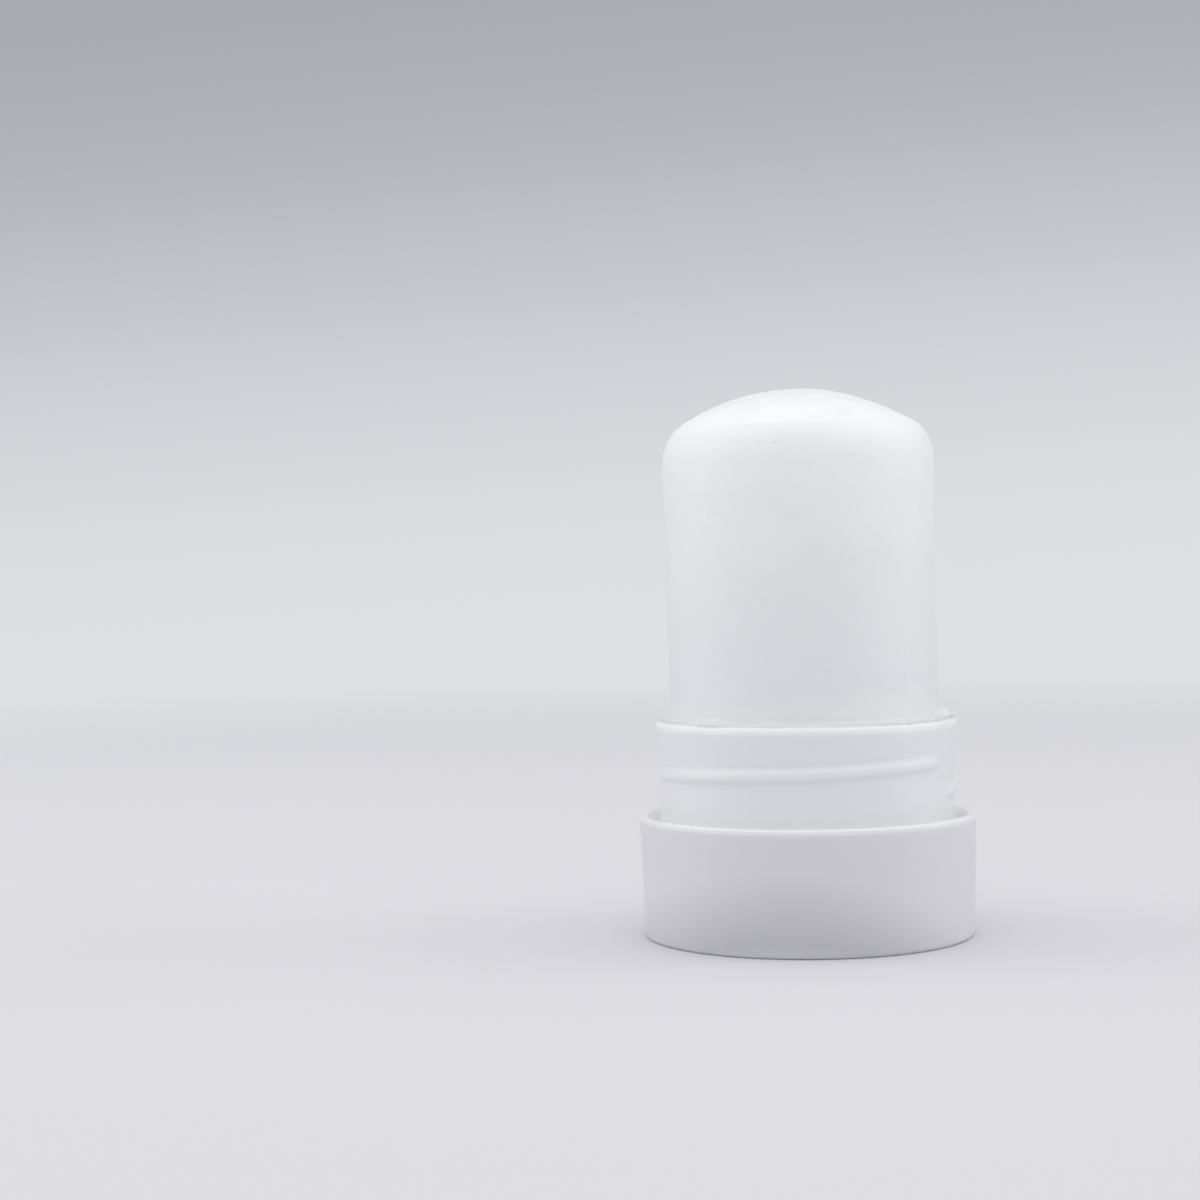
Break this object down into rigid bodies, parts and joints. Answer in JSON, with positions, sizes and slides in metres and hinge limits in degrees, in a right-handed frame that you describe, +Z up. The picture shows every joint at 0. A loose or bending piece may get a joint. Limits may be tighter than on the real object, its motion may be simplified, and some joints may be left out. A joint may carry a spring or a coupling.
{
  "type": "deodorant stick",
  "caption": "Cast mineral crystal with a low domed top, standing in a one-piece moulded holder with a flared lip, a one-turn screw thread and a hollow skirted foot.",
  "frame": {"origin": "on the surface the part stands on, at the middle of the holder's round foot", "axes": "+Z up along the holder's axis, towards the crystal's dome; -Y is the front; the crystal leans 0.3 degrees towards -X"},
  "size_m": [0.0371, 0.037, 0.0602],
  "materials": {
    "alum": "satin, milky translucent",
    "milky_plastic": "satin, milky translucent"
  },
  "bodies": {
    "root": {"alum_crystal": "alum", "holder": "milky_plastic"}
  },
  "joints": []
}
